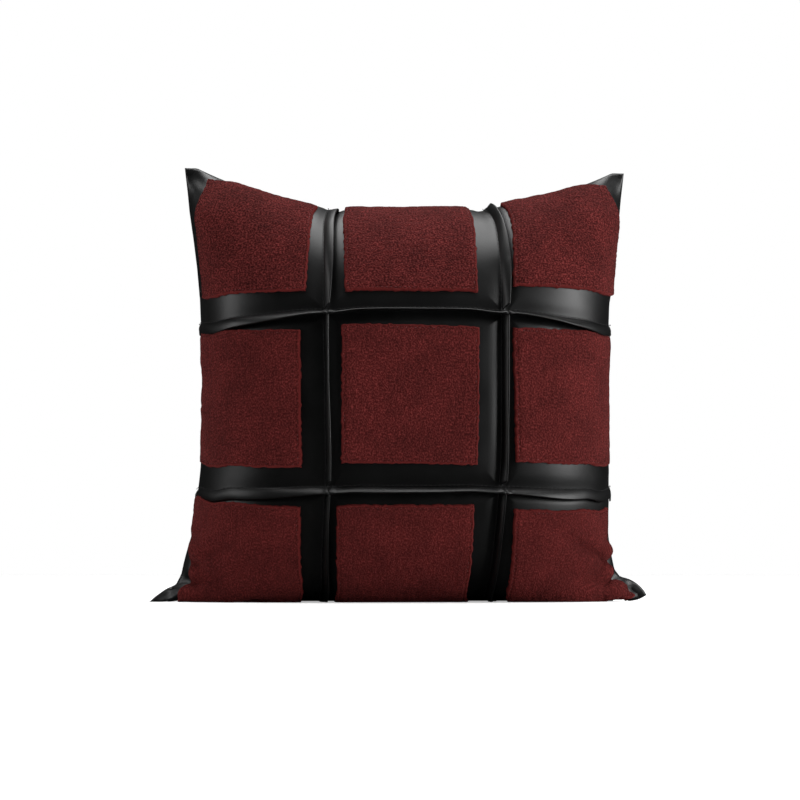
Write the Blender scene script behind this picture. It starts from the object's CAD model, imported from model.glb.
import math

import bpy
import numpy as np
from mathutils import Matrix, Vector


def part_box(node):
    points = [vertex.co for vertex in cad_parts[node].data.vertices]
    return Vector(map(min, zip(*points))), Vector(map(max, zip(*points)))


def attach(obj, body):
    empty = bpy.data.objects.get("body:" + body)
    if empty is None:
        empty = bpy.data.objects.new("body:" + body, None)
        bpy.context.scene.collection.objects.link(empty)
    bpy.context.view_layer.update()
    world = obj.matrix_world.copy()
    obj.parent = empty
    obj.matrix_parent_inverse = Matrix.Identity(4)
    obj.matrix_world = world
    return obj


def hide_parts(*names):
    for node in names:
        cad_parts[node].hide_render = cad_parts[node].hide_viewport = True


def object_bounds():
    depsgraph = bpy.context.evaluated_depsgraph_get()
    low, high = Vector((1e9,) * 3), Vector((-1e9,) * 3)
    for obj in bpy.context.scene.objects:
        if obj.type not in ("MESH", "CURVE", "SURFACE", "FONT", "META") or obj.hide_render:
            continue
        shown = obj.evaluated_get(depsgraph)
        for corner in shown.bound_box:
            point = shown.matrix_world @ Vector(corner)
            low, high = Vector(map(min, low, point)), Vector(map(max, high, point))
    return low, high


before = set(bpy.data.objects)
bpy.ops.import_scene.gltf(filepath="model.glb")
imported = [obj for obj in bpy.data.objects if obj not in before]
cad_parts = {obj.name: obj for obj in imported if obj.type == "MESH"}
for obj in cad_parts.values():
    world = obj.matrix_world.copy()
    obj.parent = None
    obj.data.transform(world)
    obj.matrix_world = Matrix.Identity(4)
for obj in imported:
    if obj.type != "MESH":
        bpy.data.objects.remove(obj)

CAD_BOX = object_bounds()

# Square throw pillow: a tucked leather cover with nine plush patches, a zip along the base and an insert.
# Lengths are in metres. A place on a sheet's flat cut is (a, b): a across from its left edge, b up from its
# base. Patches, tucks and stitches are placed on the cut, and follow it to where the simulation leaves it.

MM = 0.001

# The cover, from the frame
LOW, HIGH = CAD_BOX
SIDE = 2 * HIGH.x  # the cover is cut square, and its base seam lies straight on the floor
FIELD = SIDE / 3  # the tucks divide the front into nine fields
PRESSED_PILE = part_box("cover_front")[0].z
TAPE_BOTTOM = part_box("zip_tape_front")[0].z
ZIP_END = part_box("zip_tape_front")[1].x

LEATHER = 1.0 * MM  # its thickness
PILE = 3.6 * MM
PATCH = 0.118  # a patch's side
TUCK_HEIGHT = 9.0 * MM
TUCK_LINES = (FIELD, 2 * FIELD)
FLAT_LEAN = 84.0  # degrees from upright at which a tuck lies on the sheet


# Small tools


class Noise:
    """Smooth random values from -1 to 1 over a plane, repeatable by its seed."""

    SIZE = 256

    def __init__(self, seed):
        self.lattice = np.random.default_rng(seed).uniform(-1, 1, (self.SIZE, self.SIZE))

    def at(self, x, y):
        """Values at places on the plane, where the random ones are one unit apart."""
        x, y = np.broadcast_arrays(np.asarray(x, float), np.asarray(y, float))
        i, j = np.floor(x).astype(int), np.floor(y).astype(int)
        u, v = x - i, y - j
        u, v = u * u * (3 - 2 * u), v * v * (3 - 2 * v)
        grid, size = self.lattice, self.SIZE
        low = grid[j % size, i % size] * (1 - u) + grid[j % size, (i + 1) % size] * u
        high = grid[(j + 1) % size, i % size] * (1 - u) + grid[(j + 1) % size, (i + 1) % size] * u
        return low * (1 - v) + high * v


def ease(low, high, x):
    """A smooth step from 0 at low to 1 at high."""
    t = np.clip((x - low) / (high - low), 0, 1)
    return t * t * (3 - 2 * t)


def hump(distance, width):
    """A smooth hump of height 1 over a line."""
    return np.exp(-((distance / width) ** 2))


def face_lists(faces):
    """Faces as plain lists of point numbers."""
    return faces.tolist() if isinstance(faces, np.ndarray) else faces


def add_object(name, data):
    """An object in the scene."""
    made = bpy.data.objects.new(name, data)
    bpy.context.scene.collection.objects.link(made)
    return made


def add_mesh(name, points, faces, flat=None):
    """A mesh object. flat gives each point's place on the flat cut, which the materials read."""
    mesh = bpy.data.meshes.new(name)
    mesh.from_pydata(np.asarray(points, float).tolist(), [], face_lists(faces))
    mesh.update()
    mesh.shade_smooth()
    if flat is not None:
        attribute = mesh.attributes.new("flat", "FLOAT_VECTOR", "POINT")
        attribute.data.foreach_set("vector", np.asarray(flat, np.float32).ravel())
    return add_object(name, mesh)


def grid_faces(rows, columns, start=0, flip=False):
    """The quads of a grid whose points are numbered row by row."""
    j, i = np.meshgrid(np.arange(rows - 1), np.arange(columns - 1), indexing="ij")
    first = start + j * columns + i
    quads = np.stack([first, first + 1, first + columns + 1, first + columns], -1).reshape(-1, 4)
    return quads[:, ::-1] if flip else quads


def shell_faces(rows, columns, flip=False):
    """The quads of a thin closed shell: an outer grid, an inner grid and the wall round their edge."""
    count = rows * columns
    number = np.arange(count).reshape(rows, columns)
    edge = np.concatenate([number[0], number[1:, -1], number[-1, -2::-1], number[-2:0:-1, 0]])
    after = np.roll(edge, -1)
    wall = np.stack([edge, edge + count, after + count, after], -1)
    wall = wall[:, ::-1] if flip else wall
    outer, inner = grid_faces(rows, columns, 0, flip), grid_faces(rows, columns, count, not flip)
    return np.concatenate([outer, inner, wall])


def closed_shell(outer, inner, flat=None, flip=False):
    """Points, faces and flat places of a closed shell between two grids of points."""
    points = np.concatenate([outer.reshape(-1, 3), inner.reshape(-1, 3)])
    if flat is not None:
        flat = np.concatenate([flat.reshape(-1, 3), flat.reshape(-1, 3)])
    return points, shell_faces(*outer.shape[:2], flip=flip), flat


# The cloth simulation

CELLS = 75  # along each side of a sheet
FRAMES = 32
SCALE = 10.0  # the solver works best on a cloth of a few metres
SLACK = 0.5  # how much less the filling presses in the middle of a face
SLACK_REACH = 0.3  # of a side, from the middle
CORNER = (20 * MM, 80 * MM)  # from a corner, where the filling begins to press and where it presses in full

# Heights and half widths of the side seam of the standing pillow, in millimetres
SEAM_SHAPE = (
    (0, 222.5), (6, 219.5), (12, 213.5), (17, 206), (19, 199), (27, 194), (44, 190), (59, 186.5),
    (119, 183.5), (199, 182.5), (270, 186), (300, 189), (326, 192.5), (352, 196.5), (391.5, 201),
)
# Heights at which the tucks reach the side seam, in millimetres: its lowest third is the most gathered
SEAM_TUCKS = (0.0, 98.0, 248.0, 391.5)
TOP_SAG = 38.0 * MM  # how far the top seam hangs in the middle
SAG_SPREAD = 1.06  # it begins a little inside the corners
SAG_CURVE = 2.4  # the power of its curve
TUCK_DIP = 3.0 * MM  # how far the upright tucks draw the top seam down
DIP_WIDTH = 16 * MM
LEFT_DROP = 2.5 * MM  # how much lower the top is on the left
TIP = 6.0 * MM  # how far the tip of the lower right corner stands off the floor
EAR_LEAN = 3.5 * MM  # the lower right corner stands taller, and the left one lies flatter
EAR = 0.055  # how far a corner lies flat
SWAY = 6.0 * MM  # how far the pillow leans to the right above its base
SINK = 12.0 * MM  # how far the base would bulge below the floor
SINK_HEIGHT = 50 * MM  # the bulge fades up to this height
CROWN = HIGH.y - 9 * MM  # how far the middle of a face stands out before the filling presses on it
BOXY = 2.6  # how flat the middle of a face is
BLUNT = 2.4  # how steeply a face rises from the seam
# Where the thirds of the flat cut come to lie, as shares of the height: at the side seam and in the middle
SEAM_THIRDS = (0, 0.274, 0.638, 1)
MIDDLE_THIRDS = (0, 0.333, 0.672, 1)
# How much closer together the upright tucks are at each third of the height, as a share of the width
CLOSER_TUCKS = (0.0, 0.002, -0.002, -0.006)


def seam_point(b):
    """Half width and height of the side seam at a share b of its flat length."""
    heights, widths = np.array(SEAM_SHAPE).T * MM
    lengths = np.concatenate([[0], np.cumsum(np.hypot(np.diff(heights), np.diff(widths)))])
    ends = np.interp(np.array(SEAM_TUCKS) * MM, heights, lengths)
    along = np.interp(b, np.arange(4) / 3, ends)
    return np.interp(along, lengths, widths), np.interp(along, lengths, heights)


def slide_along(line, shares):
    """Slides a line of points along itself to the given shares of its length."""
    lengths = np.concatenate([[0], np.cumsum(np.linalg.norm(np.diff(line, axis=0), axis=1))])
    line[:] = np.stack([np.interp(shares * lengths[-1], lengths, line[:, axis]) for axis in range(3)], -1)


def settle_cut(points):
    """Slides a sheet's points along it to where its threads lie. Its side seams stay."""
    cut = np.linspace(0, 1, CELLS + 1)
    thirds = np.arange(4) / 3
    side = np.minimum(cut, 1 - cut)
    wide, narrow = ease(0.4, 0.08, side), ease(0.15, 0, side)
    at_seam = np.stack([0 * side, 0.5 * narrow + 0.5 * wide, wide, 0 * side], -1)
    for _ in range(4):  # each way disturbs the other a little less each time
        for b, row in zip(cut, points):
            inward = np.interp(b, thirds, CLOSER_TUCKS)
            slide_along(row, np.interp(cut, thirds, (0, 1 / 3 + inward, 2 / 3 - inward, 1)))
        for i in range(1, CELLS):
            thread = np.array(MIDDLE_THIRDS) * (1 - at_seam[i]) + np.array(SEAM_THIRDS) * at_seam[i]
            slide_along(points[:, i], np.interp(cut, thirds, thread))
    return points


def start_shape(side):
    """Where a sheet's points start: crowned out from the seam on one side."""
    share = np.linspace(0, 1, CELLS + 1)
    a, b = np.meshgrid(share, share)
    width, height = seam_point(b)
    level = height / height.max()
    across = 2 * a - 1
    top = height.max() - TOP_SAG * (1 - np.minimum(1, SAG_SPREAD * np.abs(across)) ** SAG_CURVE)
    for line in TUCK_LINES:
        top -= TUCK_DIP * hump(a * SIDE - line, DIP_WIDTH)
    z = level * top
    z -= LEFT_DROP * level * ease(0.1, -0.4, across)
    z -= SINK * np.clip(1 - height / SINK_HEIGHT, 0, 1) * ease(1.0, 0.8, np.abs(across))
    z += TIP * np.clip(1 - height / (20 * MM), 0, 1) * ease(0.94, 1.0, across)
    at_ear = ease(0.9, 1.0, np.abs(across))
    z += EAR_LEAN * np.sign(across) * hump(height - 15 * MM, 14 * MM) * at_ear
    crown = ((1 - np.abs(across) ** BOXY) * (1 - np.abs(2 * level - 1) ** BOXY)) ** (1 / BLUNT)
    crown *= ease(0.0, EAR, np.hypot(width * (1 - np.abs(across)), np.minimum(height, height.max() - height)))
    y = side * CROWN * crown
    sway = SWAY * (ease(20 * MM, 130 * MM, z) - 0.5)
    return settle_cut(np.stack([across * width + sway, y, z], -1))


def cloth_mesh():
    """Both sheets as one cloth, joined along their edges. Returns it and each sheet's point numbers."""
    count = CELLS + 1
    points, numbers = [], {}
    faces = []
    for side in (-1, 1):
        start = start_shape(side)
        number = np.zeros((count, count), int)
        for j in range(count):
            for i in range(count):
                if side == 1 and (i in (0, CELLS) or j in (0, CELLS)):
                    number[j, i] = numbers[-1][j, i]
                    continue
                number[j, i] = len(points)
                points.append(start[j, i] * SCALE)
        numbers[side] = number
        quads = np.stack([number[:-1, :-1], number[:-1, 1:], number[1:, 1:], number[1:, :-1]], -1)
        quads = quads.reshape(-1, 4)
        faces.append(quads if side == -1 else quads[:, ::-1])
    return add_mesh("cloth", points, np.concatenate(faces)), numbers


def hold_seam(cloth, numbers):
    """Groups for the solver: how firmly points are held, and how much the filling presses."""
    tip, base_end = 6 * MM, 0.82  # the corners' tips are held fast, and the base only near its ends
    held = cloth.vertex_groups.new(name="held")
    pressed = cloth.vertex_groups.new(name="pressed")
    share = np.linspace(0, 1, CELLS + 1)
    for number in numbers.values():
        for j, b in enumerate(share):
            for i, a in enumerate(share):
                corner = math.hypot(min(a, 1 - a), min(b, 1 - b)) * SIDE
                index = [int(number[j, i])]
                middle = hump(math.hypot(a - 0.5, b - 0.5), SLACK_REACH)
                pressed.add(index, float(ease(*CORNER, corner) * (1 - SLACK * middle)), "REPLACE")
                on_seam = i in (0, CELLS) or j == CELLS or (j == 0 and abs(2 * a - 1) > base_end)
                if corner < tip:
                    held.add(index, 1.0, "REPLACE")
                elif on_seam:
                    held.add(index, 0.8, "REPLACE")


def add_square(name, reach):
    """A flat square that reaches this far each way."""
    corners = [(-reach, -reach, 0), (reach, -reach, 0), (reach, reach, 0), (-reach, reach, 0)]
    return add_mesh(name, corners, [(0, 1, 2, 3)])


def rising_floor():
    """The floor under the cloth. It rises into place, which flattens the base."""
    ground = add_square("ground", 20)
    ground.location.z = -2 * SINK * SCALE
    ground.keyframe_insert("location", frame=1)
    ground.location.z = 0
    ground.keyframe_insert("location", frame=FRAMES // 2)
    ground.modifiers.new("collision", "COLLISION")
    ground.collision.thickness_outer = 0.01
    ground.collision.cloth_friction = 20
    return ground


def simulate_cover():
    """Fills the cover by cloth simulation. Returns the front and the back sheet's points in metres."""
    cloth, numbers = cloth_mesh()
    hold_seam(cloth, numbers)
    ground = rising_floor()
    modifier = cloth.modifiers.new("cloth", "CLOTH")
    modifier.collision_settings.distance_min = 0.01
    modifier.point_cache.frame_end = FRAMES
    settings = modifier.settings
    settings.quality = 6
    settings.mass = 0.3
    settings.tension_stiffness = settings.compression_stiffness = 80
    settings.shear_stiffness = 40
    settings.bending_stiffness = 5
    settings.tension_damping = settings.compression_damping = settings.shear_damping = 10
    settings.air_damping = 2
    settings.use_pressure = True
    settings.uniform_pressure_force = 6
    settings.vertex_group_pressure = "pressed"
    settings.vertex_group_mass = "held"
    settings.pin_stiffness = 20
    scene = bpy.context.scene
    scene.gravity = (0, 0, -2)
    for step in range(1, FRAMES + 1):
        scene.frame_set(step)
    settled = cloth.evaluated_get(bpy.context.evaluated_depsgraph_get())
    places = np.zeros(len(settled.data.vertices) * 3)
    settled.data.vertices.foreach_get("co", places)
    places = places.reshape(-1, 3) / SCALE
    for used in (cloth, ground):
        bpy.data.objects.remove(used)
    scene.frame_set(1)
    return places[numbers[-1]], places[numbers[1]]


# Sheets as surfaces

HOVER = 2.0 * MM  # how far above the floor the simulated cloth comes to rest
LOWERED = 60 * MM  # up to this height, the sheets are lowered by that, less and less
PILE_END = (205 * MM, 190 * MM)  # the pressed pile under the front ends within this half width
LIP = 6 * MM  # how far the strips beside the zip are pushed out
ROOT = 20 * MM  # how wide they are
PULL_REACH = 198 * MM  # the zip's pull swings out this far at both ends, and needs this much height
PULL_ROOM = 3.2 * MM


def cubic(t):
    """The four weights of a smooth curve through points, at share t between the middle two."""
    return (
        (-t + 2 * t**2 - t**3) / 2,
        (2 - 5 * t**2 + 3 * t**3) / 2,
        (t + 4 * t**2 - 3 * t**3) / 2,
        (t**3 - t**2) / 2,
    )


class Sheet:
    """A simulated sheet as a smooth surface over its flat cut, with finer relief added along its normal."""

    STEP = 0.6 * MM

    def __init__(self, points, side, relief):
        self.points = points
        self.side = side  # -1 for the front, 1 for the back
        self.relief = relief

    def smooth(self, a, b):
        """Points of the simulated sheet."""
        cells = self.points.shape[0] - 1
        u, v = np.clip(a / SIDE, 0, 1) * cells, np.clip(b / SIDE, 0, 1) * cells
        i, j = np.minimum(u.astype(int), cells - 1), np.minimum(v.astype(int), cells - 1)
        total = 0
        for row, row_weight in enumerate(cubic(v - j)):
            jj = np.clip(j + row - 1, 0, cells)
            for column, weight in enumerate(cubic(u - i)):
                ii = np.clip(i + column - 1, 0, cells)
                total = total + self.points[jj, ii] * (row_weight * weight)[..., None]
        return total

    def normal(self, a, b, points_at):
        """Outward normals of a surface over the flat cut."""
        step = self.STEP
        across = points_at(np.minimum(a + step, SIDE), b) - points_at(np.maximum(a - step, 0), b)
        up = points_at(a, np.minimum(b + step, SIDE)) - points_at(a, np.maximum(b - step, 0))
        normal = np.cross(across, up) * -self.side
        return normal / np.maximum(np.linalg.norm(normal, axis=-1, keepdims=True), 1e-12)

    def at(self, a, b):
        """Points of the finished outer surface."""
        raised = self.smooth(a, b) + self.normal(a, b, self.smooth) * self.relief(a, b)[..., None]
        return seat(raised, self.side)

    def with_normal(self, a, b):
        """Points of the finished outer surface and its outward normals there."""
        return self.at(a, b), self.normal(a, b, self.at)


def seat(points, side):
    """Lowers a sheet onto the floor, or onto its pressed pile, and raises the strip beside the zip."""
    x, y, z = np.moveaxis(points, -1, 0)
    width, depth = np.abs(x), np.abs(y)
    under = PRESSED_PILE * ease(*PILE_END, width) if side == -1 else 0
    z = np.maximum(z + (under - HOVER) * np.clip(1 - z / LOWERED, 0, 1), under)
    beside = ease(ZIP_END + 7 * MM, ZIP_END + 1 * MM, width) * ease(14 * MM, 6 * MM, z)
    within = np.clip(1 - depth / ROOT, 0, 1) * beside
    z = z + (TAPE_BOTTOM - LEATHER - under) * within
    over_pull = ease(7 * MM, 4 * MM, depth) * ease(PULL_REACH + 5 * MM, PULL_REACH, width)
    z = np.maximum(z, PULL_ROOM * over_pull)
    return np.stack([x, side * (depth + LIP * within), z], -1)


# The tucks


class Tuck:
    """A fold of the front sheet, sewn along its foot. Upright ones lean to the right, others lean down."""

    WAVER = 3  # degrees, how unevenly it leans
    UNEVEN = 0.4 * MM  # how much its height varies
    WAVE = 0.04  # the length over which both vary
    CAUGHT = 0.8  # how much of an upright tuck's height is lost where another holds it down
    SWELL = 1.2 * MM  # how much higher the other is there

    def __init__(self, name, upright, line, leans, seed):
        self.name = name
        self.upright = upright
        self.line = line
        self.leans = leans  # degrees that it leans over, evenly spaced from its left or lower end
        self.shape = Noise(seed)

    def place(self, along, beside=0.0):
        """The place on the flat cut at a length along it and a distance beside it, on its leaning side."""
        across = np.full_like(along, self.line + (beside if self.upright else -beside))
        return (across, along) if self.upright else (along, across)

    def distance(self, a, b):
        """How far a place on the flat cut is from the tuck, towards its leaning side."""
        return a - self.line if self.upright else self.line - b

    def lean(self, along):
        """How far it leans over, in radians: at its ends the side seams hold it flat."""
        degrees = np.interp(along, np.linspace(0, SIDE, len(self.leans)), self.leans)
        degrees = degrees + self.WAVER * self.shape.at(along / self.WAVE, 0)
        sewn_in = ease(14 * MM, 2 * MM, np.minimum(along, SIDE - along))
        return np.radians(degrees + (FLAT_LEAN - degrees) * sewn_in)

    def valley(self, a, b):
        """How deep the sheet dips beside the tuck. Where it lies over, it hides the dip on one side."""
        beside, along = self.distance(a, b), b if self.upright else a
        lying = self.lean(along) / math.radians(FLAT_LEAN)
        both = (1 - lying) * hump(beside, 8 * MM)
        covered = lying * hump(beside - 5 * MM, 5 * MM) * ease(0, 3 * MM, beside)
        return both + covered

    def height(self, along):
        """Its height: the upright ones are caught in the others where they cross."""
        height = TUCK_HEIGHT + self.UNEVEN * self.shape.at(along / self.WAVE, 5)
        for line in TUCK_LINES:
            over = along - line
            if self.upright:
                height = height * (1 - self.CAUGHT * ease(-2 * MM, 0, over) * ease(5 * MM, 3 * MM, over))
            else:
                height = height + self.SWELL * self.swelling(over)
        return height

    def swelling(self, over):
        """Where an upright tuck is folded into this one: 1 over it and 0 beside it."""
        return ease(-2 * MM, 0, over) * ease(8 * MM, 6 * MM, over)


TUCKS = (
    Tuck("left", True, FIELD, (40, 32, 28, 26, 22, 20, 24, 52, 50, 55), 11),
    Tuck("right", True, 2 * FIELD, (30, 24, 24, 24, 20, 20, 24, 58, 42, 40), 12),
    Tuck("lower", False, FIELD, (80, 78, 62, 34, 28, 26, 26, 45, 66, 80), 13),
    Tuck("upper", False, 2 * FIELD, (80, 72, 46, 20, 14, 14, 18, 32, 66, 80), 14),
)


# Relief of the sheets

FRONT_WAVE = 0.5 * MM
BACK_WAVE = 1.2 * MM
VALLEY = 3.2 * MM  # how far the sheet dips beside a tuck
GATHER = 1.6 * MM
GATHER_WIDTH = 11 * MM  # of one gather, along the seam
GATHER_REACH = 14 * MM  # how far from the seam the gathers reach
PUCKER_LEFT, PUCKER_RIGHT = 1.5 * MM, 2.4 * MM
PUCKER_WIDTH = 27 * MM
EDGE = 12 * MM  # the relief fades out this far from the seams

wave = Noise(3)
pucker = Noise(5)


def edge_distance(a, b):
    """Distance to the nearest edge of the flat cut."""
    return np.minimum(np.minimum(a, SIDE - a), np.minimum(b, SIDE - b))


def seam_gathers(a, b):
    """Small gathers that the seam pulls into a sheet."""
    edge = edge_distance(a, b)
    along = np.where(np.minimum(a, SIDE - a) < np.minimum(b, SIDE - b), b, a)
    strength = ease(0, 4 * MM, edge) * np.exp(-edge / GATHER_REACH)
    quarter = (a > SIDE / 2) * 7.3 + (b > SIDE / 2) * 3.1  # each quarter of the sheet has its own
    return GATHER * pucker.at(along / GATHER_WIDTH, quarter) * strength


def side_puckers(a, b):
    """Deep puckers beside the lower corners, where the seam is gathered most."""
    side = np.minimum(a, SIDE - a)
    strength = ease(0, 14 * MM, side) * ease(62 * MM, 16 * MM, side)
    strength = strength * ease(0, 25 * MM, b) * ease(115 * MM, 75 * MM, b)
    depth = np.where(a > SIDE / 2, PUCKER_RIGHT, PUCKER_LEFT)
    slant = 1.2 + 12 * side  # the puckers rise towards the seam
    return depth * strength * np.sin(2 * math.pi * b / PUCKER_WIDTH + slant)


def front_relief(a, b):
    """Height of the front sheet over the simulated one: valleys along the tucks, gathers and slight waves."""
    valley = 0.0
    for tuck in TUCKS:
        valley = np.maximum(valley, tuck.valley(a, b))
    height = FRONT_WAVE * wave.at(a / 0.05, b / 0.05) - VALLEY * valley
    height = height + seam_gathers(a, b) + side_puckers(a, b)
    return height * ease(0, EDGE, edge_distance(a, b))


def back_relief(a, b):
    """Height of the back sheet over the simulated one."""
    height = BACK_WAVE * wave.at(a / 0.06 + 9, b / 0.06) + seam_gathers(a, b) + side_puckers(a, b)
    return height * ease(0, EDGE, edge_distance(a, b))


# Materials


def new_material(name):
    """A material with a shader to fill in. Returns it, its nodes' tree and the shader."""
    material = bpy.data.materials.new(name)
    material.use_nodes = True
    return material, material.node_tree, material.node_tree.nodes["Principled BSDF"]


def fill_in(tree, shader, inputs):
    """Fills in a node's inputs, each with a value or with a socket to link."""
    for key, value in inputs.items():
        if isinstance(value, bpy.types.NodeSocket):
            tree.links.new(value, shader.inputs[key])
        else:
            shader.inputs[key].default_value = value


def node(tree, kind, inputs=None, **settings):
    """A node with its settings and its inputs."""
    made = tree.nodes.new(kind)
    for key, value in settings.items():
        setattr(made, key, value)
    fill_in(tree, made, inputs or {})
    return made


def flat_place(tree):
    """The place on the flat cut."""
    return node(tree, "ShaderNodeAttribute", attribute_name="flat").outputs["Vector"]


def scaled(tree, vector, scale):
    """A vector scaled per axis."""
    return node(tree, "ShaderNodeMapping", {"Vector": vector, "Scale": scale}).outputs["Vector"]


def object_place(tree):
    """The place in the frame."""
    return node(tree, "ShaderNodeTexCoord").outputs["Object"]


def noise(tree, vector, scale=1.0, detail=2.0):
    """A noise texture."""
    return node(tree, "ShaderNodeTexNoise", {"Vector": vector, "Scale": scale, "Detail": detail})


def map_range(tree, value, start, end, low, high):
    """A value from low to high as another goes from start to end."""
    limits = {"From Min": start, "From Max": end, "To Min": low, "To Max": high}
    return node(tree, "ShaderNodeMapRange", {"Value": value, **limits}).outputs["Result"]


def multiplied(tree, first, second):
    """The product of two colours."""
    inputs = {"Factor": 1.0, "A": first, "B": second}
    return node(tree, "ShaderNodeMix", inputs, data_type="RGBA", blend_type="MULTIPLY").outputs["Result"]


def bump(tree, height, strength, distance):
    """A normal for a roughened surface."""
    inputs = {"Height": height, "Strength": strength, "Distance": distance}
    return node(tree, "ShaderNodeBump", inputs).outputs["Normal"]


def mix_shaders(tree, factor, first, second):
    """A node that goes from one shader to another."""
    inputs = {0: factor, 1: first.outputs[0], 2: second.outputs[0]}
    return node(tree, "ShaderNodeMixShader", inputs)


def grey(value):
    """A grey colour."""
    return (value, value, value)


def ramp(tree, factor, low, high, start=0.0, end=1.0):
    """A blend from one colour to another as factor goes from start to end."""
    made = node(tree, "ShaderNodeValToRGB", {"Fac": factor})
    made.color_ramp.elements[0].position, made.color_ramp.elements[0].color = start, (*low, 1)
    made.color_ramp.elements[1].position, made.color_ramp.elements[1].color = end, (*high, 1)
    return made.outputs["Color"]


def leather_material():
    """Soft black coated leather: a fine grain, a satin coat and slight wear."""
    material, tree, shader = new_material("leather")
    grain = node(tree, "ShaderNodeTexVoronoi", {"Vector": flat_place(tree), "Scale": 900.0})
    cloud = noise(tree, flat_place(tree), 25.0, 4.0).outputs["Fac"]
    colour = ramp(tree, cloud, (0.0014, 0.0015, 0.0016), (0.0030, 0.0032, 0.0033), 0.35, 0.65)
    rough = map_range(tree, cloud, 0.3, 0.7, 0.38, 0.46)
    normal = bump(tree, grain.outputs["Distance"], 0.12, 0.3 * MM)
    inputs = {"Base Color": colour, "Roughness": rough, "Normal": normal, "Specular IOR Level": 0.55}
    fill_in(tree, shader, inputs)
    return material


PILE_COLOUR = (0.083, 0.0098, 0.0091)
PILE_GAP = (0.039, 0.0047, 0.0043)  # how much darker the gaps between the tufts are
PILE_TIP = (0.09, 0.018, 0.017)  # how much lighter their tips are
PILE_RIM = (0.115, 0.0145, 0.0135, 1)  # the fringe at a patch's edge
TUFTS = (830, 600, 1)  # to a metre, across and along the pile
STREAKS = (260, 110, 1)


def plush_material(row, depth):
    """Short burgundy pile: tufts with dark gaps between them, streaks where it lies over, a faint sheen."""
    material, tree, shader = new_material(f"plush_{row}")
    bend = noise(tree, flat_place(tree), 120.0).outputs["Color"]
    shift = node(tree, "ShaderNodeVectorMath", {0: bend, 1: (0.004, 0.002, 0)}, operation="MULTIPLY")
    on_sheet = scaled(tree, flat_place(tree), (1, 1, 0))
    bent = node(tree, "ShaderNodeVectorMath", {0: on_sheet, 1: shift.outputs["Vector"]}, operation="ADD")
    tufts = noise(tree, scaled(tree, bent.outputs["Vector"], TUFTS)).outputs["Fac"]
    streaks = noise(tree, scaled(tree, bent.outputs["Vector"], STREAKS)).outputs["Fac"]
    clouds = noise(tree, flat_place(tree), 30.0, 3.0).outputs["Fac"]
    gap = tuple(colour - depth * darker for colour, darker in zip(PILE_COLOUR, PILE_GAP))
    tip = tuple(colour + depth * lighter for colour, lighter in zip(PILE_COLOUR, PILE_TIP))
    pile = ramp(tree, tufts, gap, tip, 0.42, 0.70)
    lying = ramp(tree, streaks, grey(1 - 0.15 * depth), grey(1 + 0.15 * depth), 0.35, 0.65)
    patchy = ramp(tree, clouds, grey(0.85), grey(1.12), 0.35, 0.65)
    colour = multiplied(tree, multiplied(tree, pile, lying), patchy)
    from_edge = node(tree, "ShaderNodeSeparateXYZ", {"Vector": flat_place(tree)}).outputs["Z"]
    rim = map_range(tree, from_edge, 0.8 * MM, 2.2 * MM, 1.0, 0.0)
    fringe = node(tree, "ShaderNodeMix", {"Factor": rim, "A": colour, "B": PILE_RIM}, data_type="RGBA")
    inputs = {
        "Base Color": fringe.outputs["Result"],
        "Normal": bump(tree, tufts, 0.8, 1.2 * MM),
        "Roughness": 0.95,
        "Specular IOR Level": 0.1,
        "Sheen Weight": 0.12,
        "Sheen Roughness": 0.35,
        "Sheen Tint": (0.6, 0.12, 0.12, 1),
    }
    fill_in(tree, shader, inputs)
    return material


def thread_material(name, colour):
    """Twisted thread."""
    material, tree, shader = new_material(name)
    twist = noise(tree, object_place(tree), 2500.0).outputs["Fac"]
    shaded = ramp(tree, twist, tuple(0.5 * part for part in colour), colour, 0.3, 0.7)
    normal = bump(tree, twist, 0.3, 0.2 * MM)
    fill_in(tree, shader, {"Base Color": shaded, "Normal": normal, "Roughness": 0.6})
    return material


def cloth_material(name, low, high, threads, across="Z"):
    """Plain woven cloth: warp and weft as crossing bands, along X and across it."""
    material, tree, shader = new_material(name)
    bands = {"Vector": object_place(tree), "Scale": threads}
    warp = node(tree, "ShaderNodeTexWave", bands, bands_direction="X").outputs["Fac"]
    weft = node(tree, "ShaderNodeTexWave", bands, bands_direction=across).outputs["Fac"]
    weave = node(tree, "ShaderNodeMath", {0: warp, 1: weft}, operation="MULTIPLY").outputs["Value"]
    normal = bump(tree, weave, 0.3, 0.2 * MM)
    fill_in(tree, shader, {"Base Color": ramp(tree, weave, low, high), "Normal": normal, "Roughness": 0.85})
    return material


def metal_material():
    """Dark plated zinc with fine scuffs."""
    material, tree, shader = new_material("zip_metal")
    scuffs = noise(tree, object_place(tree), 700.0, 6.0).outputs["Fac"]
    colour = ramp(tree, scuffs, (0.05, 0.05, 0.052), (0.1, 0.1, 0.105), 0.4, 0.7)
    rough = map_range(tree, scuffs, 0.0, 1.0, 0.2, 0.45)
    fill_in(tree, shader, {"Base Color": colour, "Roughness": rough, "Metallic": 0.9})
    return material


def nylon_material():
    """Glossy black nylon of the zip's coils."""
    material, tree, shader = new_material("zip_coil")
    tone = noise(tree, object_place(tree), 300.0).outputs["Fac"]
    colour = ramp(tree, tone, grey(0.008), grey(0.02))
    fill_in(tree, shader, {"Base Color": colour, "Roughness": 0.3})
    return material


def fibre_material():
    """White polyester fibre."""
    material, tree, shader = new_material("filling")
    fluff = noise(tree, object_place(tree), 180.0, 8.0).outputs["Fac"]
    colour = ramp(tree, fluff, (0.7, 0.7, 0.68), (0.9, 0.9, 0.88))
    normal = bump(tree, fluff, 0.8, 2 * MM)
    fill_in(tree, shader, {"Base Color": colour, "Normal": normal, "Roughness": 0.95})
    return material


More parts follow.
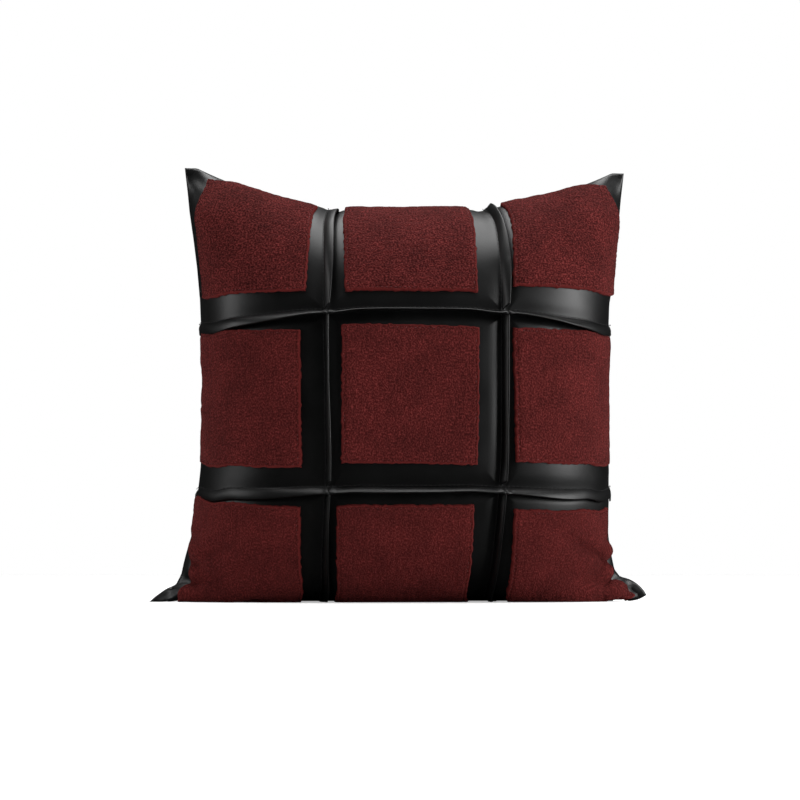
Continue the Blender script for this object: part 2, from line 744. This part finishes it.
LEATHER_LOOK = leather_material()
PILE_DEPTHS = {"bottom": 0.65, "middle": 0.8, "top": 1.1}  # how clearly the tufts show in each row
PLUSH_LOOKS = {row: plush_material(row, depth) for row, depth in PILE_DEPTHS.items()}
BLACK_THREAD = thread_material("thread_black", grey(0.02))
BURGUNDY_THREAD = thread_material("thread_burgundy", (0.16, 0.03, 0.03))
WHITE_THREAD = thread_material("thread_white", (0.8, 0.8, 0.78))
TAPE_LOOK = cloth_material("zip_tape", grey(0.008), grey(0.025), 900.0, across="Y")
CASING_LOOK = cloth_material("insert_cloth", (0.62, 0.62, 0.6), (0.82, 0.82, 0.8), 600.0)
METAL_LOOK = metal_material()
NYLON_LOOK = nylon_material()
FIBRE_LOOK = fibre_material()


def place_piece(piece, material, replaced):
    """Dresses a piece of the cover or the insert and ties it to the frame."""
    piece.data.materials.append(material)
    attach(piece, "cover")
    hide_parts(replaced)


# The cover


def sheet_grid(count, margin=0.0, fine=0):
    """Places on the flat cut, count by count of them, with some finer steps beside the tucks."""
    steps = [np.linspace(margin, SIDE - margin, count)]
    steps += [line + 13 * MM * np.linspace(-1, 1, fine) for line in TUCK_LINES if fine]
    cut = np.sort(np.concatenate(steps))
    return np.meshgrid(cut, cut)


def leather_shell(sheet, count, fine=0):
    """Points, faces and flat places of a sheet of leather, thinned at the seams."""
    a, b = sheet_grid(count, fine=fine)
    outer, normal = sheet.with_normal(a, b)
    thick = LEATHER * ease(0, 6 * MM, edge_distance(a, b)) + 0.1 * MM
    inner = outer - normal * thick[..., None]
    inner[..., 2] = np.maximum(inner[..., 2], outer[..., 2].min())
    return closed_shell(outer, inner, np.stack([a, b, 0 * a], -1), flip=sheet.side == 1)


def strip_profile(height, half):
    """A tuck's section as (out, off) pairs: out along the strip and off to each side, with a rounded tip."""
    foot, low, tip = -2 * MM + 0 * height, 1.5 * MM + 0 * height, height - half
    side = [(foot, half), (low, half), (tip / 2, half), (tip, half), (tip + 0.9 * half, 0.55 * half)]
    return [(out, -off) for out, off in side] + side[::-1]


def tuck_strip(sheet, tuck):
    """Points, faces and flat places of one tuck: a folded strip that stands on the sheet and leans over."""
    along = np.linspace(0.5 * MM, SIDE - 0.5 * MM, 300)
    root, normal = sheet.with_normal(*tuck.place(along))
    sideways = sheet.at(*tuck.place(along, 2 * MM)) - root
    sideways -= normal * np.sum(sideways * normal, -1, keepdims=True)
    sideways /= np.linalg.norm(sideways, axis=-1, keepdims=True)
    lean, height = tuck.lean(along), tuck.height(along)
    half = np.full_like(along, 0.75 * MM)
    if not tuck.upright:
        for line in TUCK_LINES:
            half += 0.8 * MM * tuck.swelling(along - line)
    points, places = [], []
    for number, (out, off) in enumerate(strip_profile(height, half)):
        tilt = (lean * (0.7 + 0.3 * np.clip(out / height, 0, 1)))[:, None]
        direction = normal * np.cos(tilt) + sideways * np.sin(tilt)
        square = sideways * np.cos(tilt) - normal * np.sin(tilt)
        points.append(root + direction * out[:, None] + square * off[:, None])
        places.append(np.stack([*tuck.place(along, 1.5 * MM * number), 0 * along], -1))
    points = np.stack(points)
    points[..., 2] = np.maximum(points[..., 2], 0.2 * MM)
    rows, columns = points.shape[:2]
    faces = grid_faces(rows, columns, 0, flip=tuck.upright).tolist()
    start = [row * columns for row in range(rows)]
    ends = [start[::-1], [first + columns - 1 for first in start]]
    faces += [end[::-1] if tuck.upright else end for end in ends]
    return points.reshape(-1, 3), faces, np.concatenate(places)


def join_meshes(parts):
    """Points, faces and flat places of several meshes as one."""
    points, faces, flat, start = [], [], [], 0
    for part_points, part_faces, part_flat in parts:
        points.append(part_points)
        flat.append(part_flat)
        faces += [[index + start for index in face] for face in face_lists(part_faces)]
        start += len(part_points)
    return np.concatenate(points), faces, np.concatenate(flat)


def make_cover_front(sheet):
    """The front sheet of leather with its four tucks."""
    parts = [leather_shell(sheet, 150, 36)]
    parts += [tuck_strip(sheet, tuck) for tuck in TUCKS]
    piece = add_mesh("cover_front_leather", *join_meshes(parts))
    place_piece(piece, LEATHER_LOOK, "cover_front")


def make_cover_back(sheet):
    """The plain back sheet of leather."""
    piece = add_mesh("cover_back_leather", *leather_shell(sheet, 200))
    place_piece(piece, LEATHER_LOOK, "cover_back")


# The plush patches

# Where the corners of each patch are sewn on the flat cut, in millimetres: its left and right corners below,
# then its right and left ones above
PATCH_CORNERS = {
    ("bottom", "left"): ((25, 9), (134, 20), (129, 134), (5, 141)),
    ("bottom", "centre"): ((164, 20), (283, 20), (278, 135), (160, 135)),
    ("bottom", "right"): ((320, 20), (440, 8), (423, 131), (313, 132)),
    ("middle", "left"): ((12, 173), (129, 167), (129, 284), (13, 295)),
    ("middle", "centre"): ((162, 170), (278, 168), (279, 284), (164, 287)),
    ("middle", "right"): ((311, 172), (426, 173), (428, 295), (308, 285)),
    ("top", "left"): ((25, 323), (134, 317), (139, 419), (24, 439)),
    ("top", "centre"): ((167, 316), (278, 315), (281, 432), (165, 432)),
    ("top", "right"): ((309, 322), (436, 329), (428, 436), (316, 438)),
}
PATCH_SEED = 110
STITCH_INSET = 3 * MM
STITCH_PULL = 0.9 * MM  # how far the stitches pull the pile in, and how wide
EDGE_PILE = 0.25  # of the pile's height, at a patch's edge
EDGE_ROUND = 2.6 * MM
STREAK_WIDTH, STREAK_LENGTH = 1.9 * MM, 6.5 * MM
STREAK_HEIGHT = 0.38 * MM
RAGGED = 0.6 * MM  # how far the tufts at a patch's edge stick out
RAGGED_REACH = 8 * MM
RAGGED_STEP = 3 * MM


def patch_place(row, column, s, t):
    """The place on the flat cut of a point of a patch. s and t run from minus to plus half its size."""
    u, v = (s / PATCH + 0.5)[..., None], (t / PATCH + 0.5)[..., None]
    corners = np.array(PATCH_CORNERS[row, column]) * MM
    below = corners[0] * (1 - u) + corners[1] * u
    above = corners[3] * (1 - u) + corners[2] * u
    a, b = np.moveaxis(below * (1 - v) + above * v, -1, 0)
    return np.clip(a, 0.5 * MM, SIDE - 0.5 * MM), np.clip(b, 0.5 * MM, SIDE - 0.5 * MM)


def from_patch_edge(s, t):
    """The distance of a point of a patch from its nearest edge."""
    return np.minimum(PATCH / 2 - np.abs(s), PATCH / 2 - np.abs(t))


def pile_height(s, t, seed, upright):
    """Height of the pile over a patch: rounded at the edges, pulled in by the stitches, streaked."""
    edge = from_patch_edge(s, t)
    rounded = np.sqrt(np.clip(1 - (1 - np.clip(edge / EDGE_ROUND, 0, 1)) ** 2, 0, 1))
    height = PILE * (EDGE_PILE + (1 - EDGE_PILE) * rounded)
    height = height - STITCH_PULL * hump(edge - STITCH_INSET, STITCH_PULL)
    streaks, bend = Noise(seed), Noise(seed + 1)
    swirl = 1.5 * bend.at(s / 0.02, t / 0.02)
    if upright:
        x, y = s / STREAK_WIDTH + swirl, t / STREAK_LENGTH
    else:
        x, y = s / STREAK_LENGTH, t / STREAK_WIDTH + swirl
    streak = streaks.at(x, y) * 0.6 + streaks.at(2.3 * x + 17, 2.3 * y) * 0.4
    return height + STREAK_HEIGHT * streak * rounded


def ragged_edge(along, across, ragged, line):
    """How far a patch's point moves across its edge, along which the tufts stick out unevenly."""
    near = ease(0, RAGGED_REACH, np.abs(across) - (PATCH / 2 - RAGGED_REACH))
    return np.sign(across) * near * RAGGED * ragged.at(along / RAGGED_STEP, np.sign(across) * 9 + line)


def make_patch(sheet, row, column, seed):
    """A plush patch. Its pile lies upright, but across the patch in the top row."""
    count = 150
    steps = np.linspace(-PATCH / 2, PATCH / 2, count)
    s, t = np.meshgrid(steps, steps)
    ragged = Noise(seed + 2)
    a, b = patch_place(row, column, s + ragged_edge(t, s, ragged, 0), t + ragged_edge(s, t, ragged, 4))
    base, normal = sheet.with_normal(a, b)
    height = pile_height(s, t, seed, upright=row != "top")
    outer = base + normal * height[..., None]
    inner = base + normal * (0.15 * MM)
    outer[..., 2] = np.maximum(outer[..., 2], 0)
    inner[..., 2] = np.maximum(inner[..., 2], 0.3 * MM)
    edge = from_patch_edge(s, t)
    place = np.stack([b, a, edge] if row == "top" else [a, b, edge], -1)
    piece = add_mesh(f"plush_{row}_{column}", *closed_shell(outer, inner, place))
    place_piece(piece, PLUSH_LOOKS[row], f"plush_patch_{row}_{column}")


# Stitches


def stitch_run(path, normals, length, gap, radius):
    """Stitches along a path: short rounded bars of thread that dip in at their ends."""
    lengths = np.concatenate([[0], np.cumsum(np.linalg.norm(np.diff(path, axis=0), axis=1))])
    parts, start = [], 0.0
    sides, stations = 6, 5
    turns = 2 * math.pi * np.arange(sides) / sides
    rings = np.arange(sides * stations).reshape(stations, sides)
    after = np.roll(rings, -1, axis=1)
    walls = np.stack([rings[:-1], after[:-1], after[1:], rings[1:]], -1).reshape(-1, 4).tolist()
    faces = walls + [rings[0, ::-1].tolist(), rings[-1].tolist()]
    while start + length < lengths[-1]:
        where = start + length * np.linspace(0, 1, stations)
        centre = np.stack([np.interp(where, lengths, path[:, k]) for k in range(3)], -1)
        up = np.stack([np.interp(where, lengths, normals[:, k]) for k in range(3)], -1)
        up /= np.linalg.norm(up, axis=-1, keepdims=True)
        run = centre[-1] - centre[0]
        cross = np.cross(run / np.linalg.norm(run), up)
        bow = np.sin(np.linspace(0, math.pi, stations))
        centre = centre + up * (radius * (1.2 * bow - 0.8))[:, None]
        thick = radius * (0.6 + 0.4 * bow)
        spokes = [up * math.cos(turn) + cross * math.sin(turn) for turn in turns]
        points = np.stack([centre + spoke * thick[:, None] for spoke in spokes], 1).reshape(-1, 3)
        parts.append((points, faces, np.zeros((len(points), 3))))
        start += length + gap
    return parts


def make_patch_stitching(sheet, row, column):
    """Stitches round a patch, sunk in its pile."""
    inset = PATCH / 2 - STITCH_INSET
    parts = []
    for side in range(4):
        along = np.linspace(-inset, inset, 80)
        across = np.full_like(along, inset)
        s, t = ((along, -across), (across, along), (-along, across), (-across, -along))[side]
        base, normal = sheet.with_normal(*patch_place(row, column, s, t))
        path = base + normal * (PILE - 1.1 * MM)
        path[:, 2] = np.maximum(path[:, 2], 0.6 * MM)
        parts += stitch_run(path, normal, 3.0 * MM, 0.9 * MM, 0.3 * MM)
    piece = add_mesh(f"stitches_{row}_{column}", *join_meshes(parts))
    place_piece(piece, BURGUNDY_THREAD, f"patch_stitching_{row}_{column}")


def make_tuck_stitching(sheet, tuck):
    """A row of stitches through the foot of a tuck, seen on the face that it leans away from."""
    along = np.linspace(3 * MM, SIDE - 3 * MM, 300)
    base, normal = sheet.with_normal(*tuck.place(along, -1.5 * MM))
    path = base + normal * (1.4 * MM)
    path[:, 2] = np.maximum(path[:, 2], 0.6 * MM)
    stitches = stitch_run(path, normal, 3.2 * MM, 0.8 * MM, 0.28 * MM)
    piece = add_mesh(f"tuck_stitches_{tuck.name}", *join_meshes(stitches))
    place_piece(piece, BLACK_THREAD, f"tuck_stitching_{tuck.name}")


def open_runs(margin, inset):
    """Places along the sides and the top of the flat cut, where it is sewn. The zip closes the base."""
    along = np.linspace(margin, SIDE - margin, 200)
    beside = np.full_like(along, inset)
    return (beside, along), (along, SIDE - beside), (SIDE - beside, along[::-1])


def make_seam_stitching(sheet):
    """The stitches that join the cover's two sheets."""
    parts = []
    for a, b in open_runs(10 * MM, 1.5 * MM):
        base, normal = sheet.with_normal(a, b)
        parts += stitch_run(base - normal * 0.8 * MM, normal, 3.0 * MM, 0.8 * MM, 0.25 * MM)
    piece = add_mesh("seam_stitches", *join_meshes(parts))
    place_piece(piece, BLACK_THREAD, "seam_stitching")


# The zip


def make_zip_tape(side_name):
    """A woven tape, ribbed along its length, with the leather under its outer half."""
    node_name = f"zip_tape_{side_name}"
    low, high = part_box(node_name)
    columns, rows = ((360, 26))
    x, y = np.meshgrid(np.linspace(low.x, high.x, columns), np.linspace(low.y, high.y, rows))
    ribs = 0.06 * MM * np.abs(np.sin(math.pi * y / (1.2 * MM)))
    top = np.stack([x, y, high.z - ribs], -1)
    under = np.stack([x, y, low.z + ribs], -1)
    piece = add_mesh(f"woven_tape_{side_name}", *closed_shell(top, under))
    place_piece(piece, TAPE_LOOK, node_name)


def make_tape_stitching(side_name):
    """The stitches that hold a tape to the leather."""
    node_name = f"zip_tape_stitching_{side_name}"
    low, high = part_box(node_name)
    x = np.linspace(low.x + 1 * MM, high.x - 1 * MM, 200)
    path = np.stack([x, 0 * x + (low.y + high.y) / 2, 0 * x + (low.z + high.z) / 2], -1)
    up = np.stack([0 * x, 0 * x, 0 * x + 1], -1)
    stitches = stitch_run(path, up, 3.2 * MM, 0.8 * MM, 0.22 * MM)
    piece = add_mesh(f"tape_stitches_{side_name}", *join_meshes(stitches))
    place_piece(piece, BLACK_THREAD, node_name)


def dress_zip_parts():
    """Materials for the rigid parts of the zip, which the frame already has."""
    for part in ("coil_front", "coil_back", "top_stops", "bottom_stop", "slider", "pull"):
        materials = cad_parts[f"zip_{part}"].data.materials
        materials.clear()
        materials.append(NYLON_LOOK if "coil" in part else METAL_LOOK)


# The insert

CASING_MARGIN = 12 * MM  # how much smaller its casing is than the cover, all round
CASING_DEPTH = 4.0 * MM  # how far inside the cover's outer surface it lies
CASING_THICK = 0.5 * MM
FILLING_MARGIN = 16 * MM
FILLING_DEPTH = 6 * MM
LUMPS = 1.5 * MM


def inward(sheet, a, b, distance):
    """Points of a sheet moved into the pillow, less so near its seams, and kept above the zip."""
    base, normal = sheet.with_normal(a, b)
    edge = ease(0, 30 * MM, edge_distance(a, b))
    points = base - normal * (distance * (0.2 + 0.8 * edge))[..., None]
    over_zip = 9 * MM * (1 - ease(18 * MM, 30 * MM, np.abs(points[..., 1])))
    points[..., 2] = np.maximum(points[..., 2], 3 * MM + over_zip)
    return points


def make_casing(sheet, side_name):
    """One of the two cloth sheets of the insert."""
    count = 120
    a, b = sheet_grid(count, CASING_MARGIN)
    outer = inward(sheet, a, b, CASING_DEPTH)
    inner = inward(sheet, a, b, CASING_DEPTH + CASING_THICK)
    shell = closed_shell(outer, inner, np.stack([a, b, 0 * a], -1), flip=sheet.side == 1)
    piece = add_mesh(f"casing_{side_name}", *shell)
    place_piece(piece, CASING_LOOK, f"insert_casing_{side_name}")


def make_filling(front, back):
    """The loose fibre in the insert, a little lumpy."""
    count = 100
    a, b = sheet_grid(count, FILLING_MARGIN)
    lumps = Noise(41)
    depth = FILLING_DEPTH + LUMPS * lumps.at(a / 0.012, b / 0.012)
    piece = add_mesh("fibre_filling", *closed_shell(inward(front, a, b, depth), inward(back, a, b, depth)))
    place_piece(piece, FIBRE_LOOK, "filling")


def make_insert_stitching(sheet):
    """The stitches that join the casing's two sheets."""
    parts = []
    for a, b in open_runs(14 * MM, 13 * MM):
        path = inward(sheet, a, b, CASING_DEPTH)
        normal = sheet.normal(a, b, sheet.smooth)
        parts += stitch_run(path, normal, 3.0 * MM, 0.8 * MM, 0.2 * MM)
    piece = add_mesh("insert_stitches", *join_meshes(parts))
    place_piece(piece, WHITE_THREAD, "insert_stitching")


# Setting

FLOOR_GLOW = 0.45  # makes the floor as white as the background where it is seen
PILLOW_CENTRE = (0, 0, 0.2)
WHITE = (1, 1, 1, 1)


def make_floor():
    """A pale floor, which glossy leather sees as a dark one."""
    floor = add_square("floor", 6)
    material, tree, shader = new_material("floor")
    path = node(tree, "ShaderNodeLightPath")
    glowing = {0: path.outputs["Is Camera Ray"], 1: FLOOR_GLOW}
    glow = node(tree, "ShaderNodeMath", glowing, operation="MULTIPLY").outputs["Value"]
    inputs = {"Base Color": (0.9, 0.9, 0.9, 1), "Roughness": 0.8}
    fill_in(tree, shader, {**inputs, "Emission Color": WHITE, "Emission Strength": glow})
    dark = node(tree, "ShaderNodeBsdfDiffuse", {"Color": (0.04, 0.04, 0.04, 1)})
    mixed = mix_shaders(tree, path.outputs["Is Glossy Ray"], shader, dark)
    tree.links.new(mixed.outputs[0], tree.nodes["Material Output"].inputs["Surface"])
    floor.data.materials.append(material)
    floor.location.z = LOW.z - 0.1 * MM


def area_light(name, place, size, power):
    """A soft light that faces the pillow."""
    data = bpy.data.lights.new(name, "AREA")
    data.shape = "RECTANGLE"
    data.size, data.size_y = size
    data.energy = power
    light = add_object(name, data)
    light.location = place
    light.rotation_mode = "QUATERNION"
    light.rotation_quaternion = (Vector(PILLOW_CENTRE) - Vector(place)).to_track_quat("-Z", "Y")


def make_lights():
    """Three soft boxes, and a wide light from straight above that leaves no highlights."""
    area_light("top", (0.1, 0.1, 2.0), (1.6, 1.2), 17)
    area_light("right", (1.8, -0.8, 0.6), (0.9, 1.4), 29)
    area_light("left", (-1.8, -0.3, 0.7), (0.6, 1.2), 7)
    sun = bpy.data.lights.new("sky", "SUN")
    sun.energy = 1.6
    sun.angle = math.radians(60)
    sun.specular_factor = 0
    add_object("sky", sun)


def make_world():
    """A white background, which lights the pillow dimly and shows in the leather hardly at all."""
    world = bpy.data.worlds.new("studio")
    bpy.context.scene.world = world
    world.use_nodes = True
    tree = world.node_tree
    lit = tree.nodes["Background"]
    fill_in(tree, lit, {"Color": WHITE, "Strength": 0.13})
    reflected = node(tree, "ShaderNodeBackground", {"Color": WHITE, "Strength": 0.02})
    seen = node(tree, "ShaderNodeBackground", {"Color": WHITE, "Strength": 1.0})
    path = node(tree, "ShaderNodeLightPath")
    unseen = mix_shaders(tree, path.outputs["Is Glossy Ray"], lit, reflected)
    mixed = mix_shaders(tree, path.outputs["Is Camera Ray"], unseen, seen)
    tree.links.new(mixed.outputs[0], tree.nodes["World Output"].inputs["Surface"])


VIEW_WIDTH = 0.72  # of the picture, in the plane of the seam
VIEW_CENTRE = (-0.003, 0, 0.18)
CAMERA_HEIGHT = 0.03  # the camera stands low and looks slightly up
CAMERA_DISTANCE = 1.5
CAMERA_TURN = -4.5  # degrees, round to the left


def make_camera():
    """The camera. Its lens follows from its distance and the picture's width."""
    data = bpy.data.cameras.new("camera")
    camera = add_object("camera", data)
    bpy.context.scene.camera = camera
    turn = math.radians(CAMERA_TURN)
    aim = Vector(VIEW_CENTRE)
    away = Vector((math.sin(turn), -math.cos(turn), 0)) * CAMERA_DISTANCE
    camera.location = Vector((aim.x, aim.y, CAMERA_HEIGHT)) + away
    camera.rotation_mode = "QUATERNION"
    camera.rotation_quaternion = (aim - camera.location).to_track_quat("-Z", "Y")
    data.sensor_width = 36
    data.lens = data.sensor_width * (aim - camera.location).length / VIEW_WIDTH


def set_view():
    """Plain display colours, so that the pale setting stays white."""
    bpy.context.scene.view_settings.view_transform = "Standard"


make_camera()
front_points, back_points = simulate_cover()
front = Sheet(front_points, -1, front_relief)
back = Sheet(back_points, 1, back_relief)
make_cover_front(front)
make_cover_back(back)
for number, (row, column) in enumerate(PATCH_CORNERS):
    make_patch(front, row, column, PATCH_SEED + 10 * number)
    make_patch_stitching(front, row, column)
for tuck in TUCKS:
    make_tuck_stitching(front, tuck)
make_seam_stitching(front)
for side_name in ("front", "back"):
    make_zip_tape(side_name)
    make_tape_stitching(side_name)
make_casing(front, "front")
make_casing(back, "back")
make_insert_stitching(front)
make_filling(front, back)
dress_zip_parts()
make_floor()
make_lights()
make_world()
set_view()
